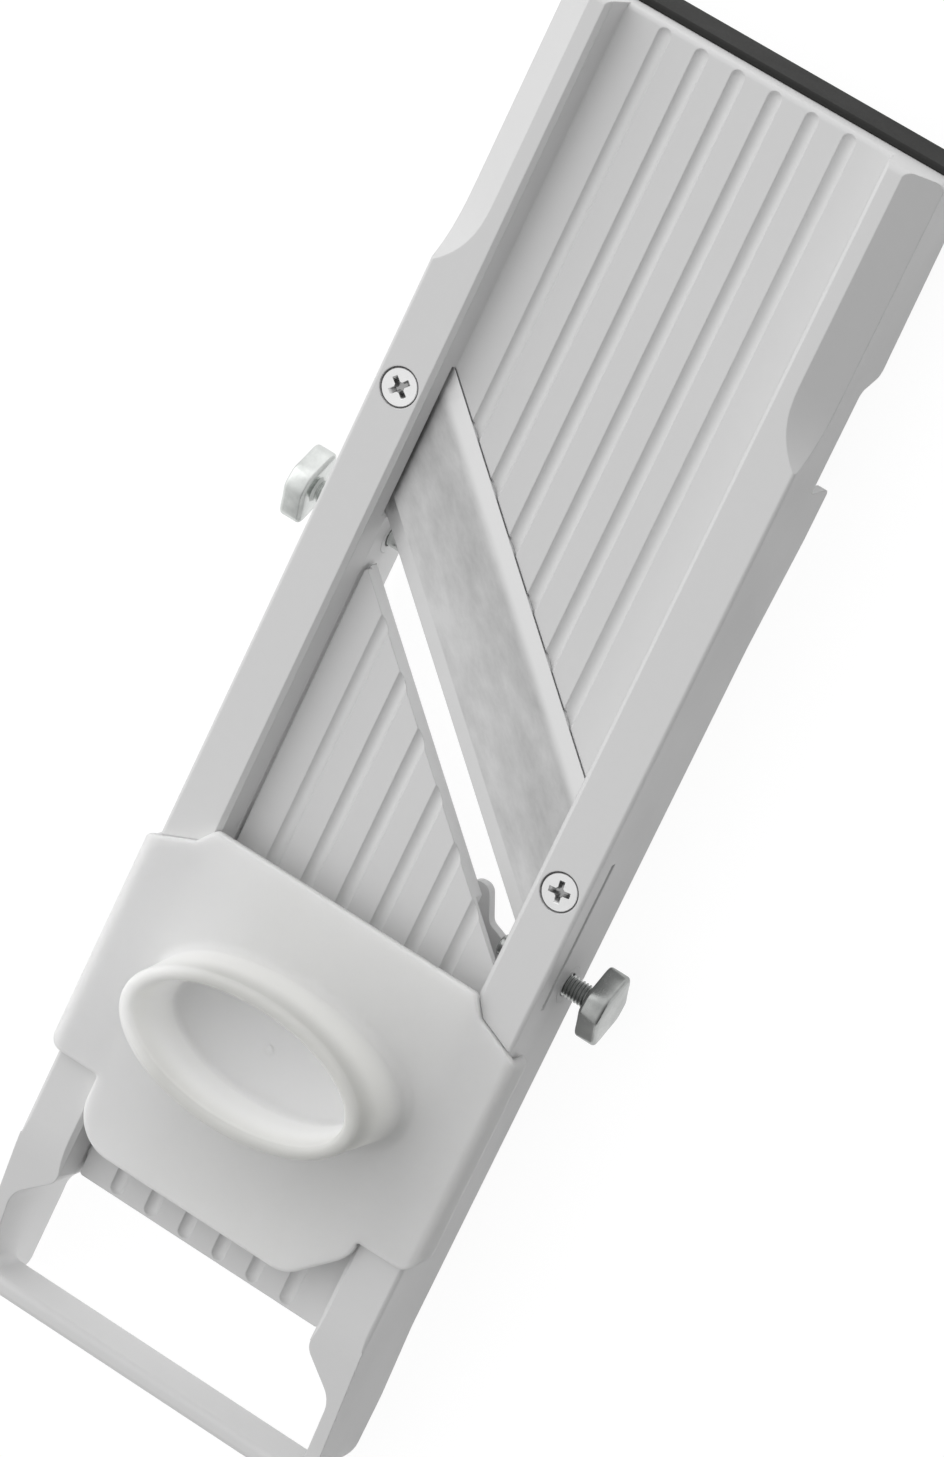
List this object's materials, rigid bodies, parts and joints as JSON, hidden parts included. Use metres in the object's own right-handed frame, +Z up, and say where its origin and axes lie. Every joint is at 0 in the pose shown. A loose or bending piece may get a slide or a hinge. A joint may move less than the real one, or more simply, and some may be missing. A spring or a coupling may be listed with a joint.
{
  "type": "mandoline slicer",
  "caption": "Flat plastic mandoline slicer with a slanted steel blade, a tilting grooved infeed plate set by a thumb wheel, side clamp bolts and a sliding hand guard.",
  "frame": {"origin": "middle of the footprint, on the plane the slicer rests on", "axes": "+Y along the body from the handle to the rubber foot, +X across the body to the right when looking along +Y, +Z up out of the table"},
  "size_m": [0.114, 0.321, 0.0505],
  "materials": {
    "body_plastic": "cool white moulded ABS, satin",
    "guard_plastic": "milky translucent moulded polyethylene",
    "blade_steel": "ground stainless steel",
    "screw_steel": "bright stainless screw",
    "zinc_steel": "zinc plated steel",
    "dial_plastic": "cool white moulded ABS, satin",
    "insert_brass": "turned brass",
    "foot_rubber": "dark grey rubber"
  },
  "bodies": {
    "body": {"frame": "body_plastic", "blade": "blade_steel", "blade_screw_left": "screw_steel", "blade_screw_right": "screw_steel", "blade_nut_left": "zinc_steel", "blade_nut_right": "zinc_steel", "side_nut_left": "zinc_steel", "side_nut_right": "zinc_steel", "rubber_foot": "foot_rubber"},
    "plate": {"infeed_plate": "body_plastic"},
    "dial": {"adjust_dial": "dial_plastic", "dial_insert": "insert_brass"},
    "stud": {"lift_stud": "zinc_steel"},
    "left_bolt": {"side_bolt_left": "zinc_steel"},
    "right_bolt": {"side_bolt_right": "zinc_steel"},
    "guard": {"hand_guard": "guard_plastic"}
  },
  "joints": [
    {"name": "dial_turn", "type": "hinge", "parent": "body", "child": "dial", "pos_m": [0, -0.045, 0.0068], "axis": [0, 0, 1], "range_deg": [0, 1080.2]},
    {"name": "plate_tilt", "type": "hinge", "parent": "body", "child": "plate", "pos_m": [0, -0.1205, 0.0162], "axis": [1, 0, 0], "range_deg": [-2.28, 0]},
    {"name": "stud_lift", "type": "slide", "parent": "body", "child": "stud", "axis": [0, 0, 1], "range_m": [-0.003, 0]},
    {"name": "left_bolt_travel", "type": "slide", "parent": "body", "child": "left_bolt", "axis": [1, 0, 0], "range_m": [-0.004, 0.005]},
    {"name": "right_bolt_travel", "type": "slide", "parent": "body", "child": "right_bolt", "axis": [-1, 0, 0], "range_m": [-0.004, 0.005]},
    {"name": "guard_slide", "type": "slide", "parent": "body", "child": "guard", "axis": [0, 1, 0], "range_m": [-0.01, 0.16]}
  ],
  "couplings": [
    {"joint": "plate_tilt", "follows": "stud_lift", "rad_per_m": 13.245},
    {"joint": "dial_turn", "follows": "stud_lift", "rad_per_m": -6283.2}
  ]
}
